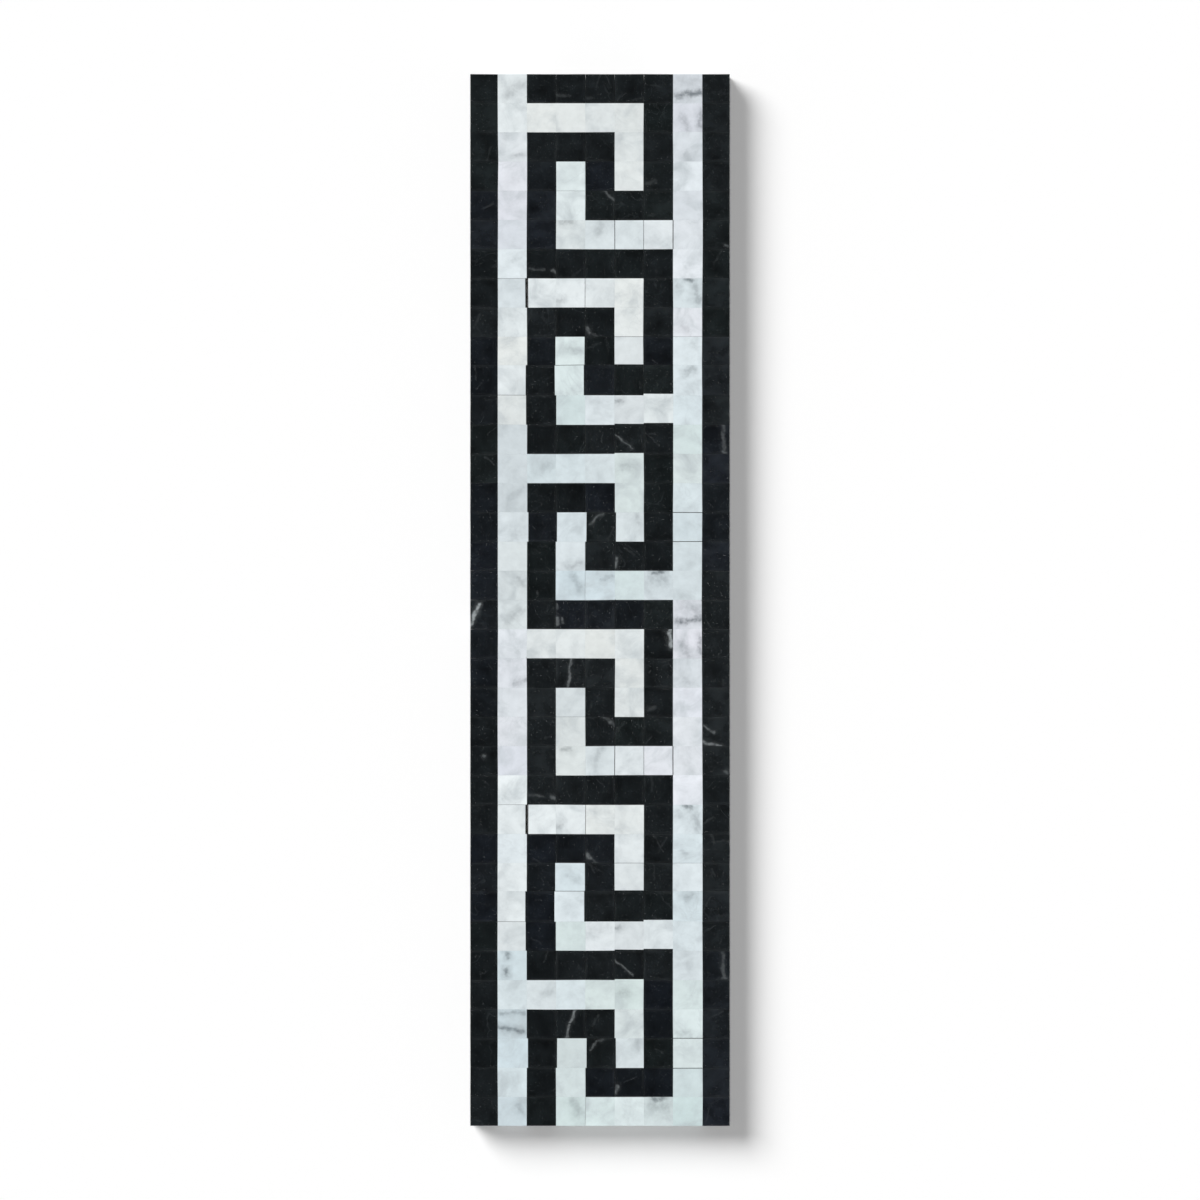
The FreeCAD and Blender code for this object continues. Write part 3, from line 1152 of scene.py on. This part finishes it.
# %% [markdown]
# ## Glass fibre yarn
#
# The stones are glued to a net of flat glass fibre yarns, coated so that they don't fray: long
# yarns below and cross yarns above, stuck together where they cross. A yarn shows its fine
# filaments as lines along it. They are too fine to model, so a noise is stretched along the yarn
# instead, and each direction has a finish of its own.

# %% Coated glass fibre
YARN_WHITE = linear(226, 226, 218)
YARN_SHADE = linear(178, 180, 172)
FILAMENTS_ACROSS = 9000
FILAMENTS_ALONG = 160
FILAMENT_SHARE = 0.75
FILAMENT_DEPTH = 0.08 * MILLIMETRE
COATING_SCALE = 300
SMOOTH_COATING = 0.42
COATING_CHANGE = 0.3


def make_yarn_finish(name, stretch):
    """Coated glass fibre whose filaments run along the axis with the small stretch."""
    material, start, surface = begin_material(name)
    here = start.node("TexCoord", {}, {}, "Object")
    filaments = noise(vector("MULTIPLY", here, stretch), 1.0)
    coating = noise(here, COATING_SCALE)
    start.plug(surface, {
        "Base Color": blend(FILAMENT_SHARE * filaments, YARN_WHITE, YARN_SHADE),
        "Roughness": SMOOTH_COATING + COATING_CHANGE * coating,
        "Normal": bumped(start, filaments, FILAMENT_DEPTH),
    })
    return material


long_finish = make_yarn_finish("long glass fibre", (FILAMENTS_ACROSS, FILAMENTS_ALONG, FILAMENTS_ACROSS))
cross_finish = make_yarn_finish("cross glass fibre", (FILAMENTS_ALONG, FILAMENTS_ACROSS, FILAMENTS_ACROSS))
print("yarn finishes:", long_finish.name, "and", cross_finish.name)

# %% [markdown]
# ## Cut the yarns
#
# A yarn is a long flat bar with rounded edges. It is pinched where another yarn crosses it, and it
# wanders a little. A curve with a flat profile could follow that path, but its radius would thin
# the yarn where it should only narrow it. So a cube is stretched to the length of the yarn, its
# long edges are bevelled, and it is divided at every crossing and half way between. The sizes and
# the number of yarns come from the CAD nodes: their boxes, and the separate bars in them.

# %% Bars of the CAD net
PLACE_DIGITS = 6


def bars_in(node, axis):
    """Middle of each bar of a CAD node along an axis, and the width of a bar."""
    sides = sorted({round(vert.co[axis], PLACE_DIGITS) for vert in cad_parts[node].data.vertices})
    pairs = list(zip(sides[0::2], sides[1::2]))
    return [(low + high) / 2 for low, high in pairs], pairs[0][1] - pairs[0][0]


print("width of a long yarn in mm:", round(bars_in("mesh_long_threads", 0)[1] / MILLIMETRE, 3))

# %% One yarn
YARN_ROUNDING = 0.36
ROUNDING_STEPS = 2
YARN_PINCH = 0.14
YARN_WANDER = 0.10 * MILLIMETRE
YARN_WAVES = 3


def once(items):
    """The items in their own order, each of them once."""
    return list(dict.fromkeys(items))


def run_of(edge):
    """How far an edge runs along X."""
    return abs(edge.verts[0].co.x - edge.verts[1].co.x)


def add_yarn(bm, low, high, axis, place, width, gaps):
    """Adds one yarn between two corners of its layer, along an axis. It crosses so many gaps of
    the other layer."""
    aside = 1 - axis
    thickness = high.z - low.z
    length = high[axis] - low[axis]
    turn = layout.uniform(0, math.tau)
    others = set(bm.faces)
    verts = bmesh.ops.create_cube(bm, size=1.0)["verts"]
    bmesh.ops.scale(bm, vec=(length, width, thickness), verts=verts)
    own = once(edge for vert in verts for edge in vert.link_edges)
    bmesh.ops.bevel(
        bm, geom=[edge for edge in own if run_of(edge) > length / 2], offset=thickness * YARN_ROUNDING,
        affect="EDGES", segments=ROUNDING_STEPS, profile=0.5, material=-1,
    )
    own = once(edge for face in bm.faces if face not in others for edge in face.edges)
    runs = [edge for edge in own if run_of(edge) > length / 2]
    bmesh.ops.subdivide_edges(bm, edges=runs, cuts=2 * gaps - 1)
    for vert in once(vert for face in bm.faces if face not in others for vert in face.verts):
        run, across, up = vert.co
        pinch = 1 - YARN_PINCH * (1 + math.cos(math.tau * gaps * run / length)) / 2
        sway = YARN_WANDER * math.sin(turn + math.tau * YARN_WAVES * run / length)
        moved = Vector((0, 0, (low.z + high.z) / 2 + up))
        moved[axis] = run + (low[axis] + high[axis]) / 2
        moved[aside] = place + across * pinch + sway
        vert.co = moved


print("wander of a yarn in mm:", round(YARN_WANDER / MILLIMETRE, 2))

# %% [markdown]
# All the yarns of one layer are one piece, because they share one CAD node. Their faces are shaded
# smooth, so that the rounded edges look round.

# %% Long and cross yarns
ALONG_X, ALONG_Y = 0, 1


def make_yarns(name, node, axis, crossed_node, material):
    """Makes all the yarns of one layer of the net as one piece."""
    places, width = bars_in(node, 1 - axis)
    gaps = len(bars_in(crossed_node, axis)[0]) - 1
    bm = bmesh.new()
    for place in places:
        add_yarn(bm, *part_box(node), axis, place, width, gaps)
    bmesh.ops.recalc_face_normals(bm, faces=bm.faces)
    for face in bm.faces:
        face.smooth = True
    print(name, "yarns:", len(places), "faces:", len(bm.faces))
    finish_piece(bm, name, material, [node])


make_yarns("net_long_yarns", "mesh_long_threads", ALONG_Y, "mesh_cross_threads", long_finish)
make_yarns("net_cross_yarns", "mesh_cross_threads", ALONG_X, "mesh_long_threads", cross_finish)
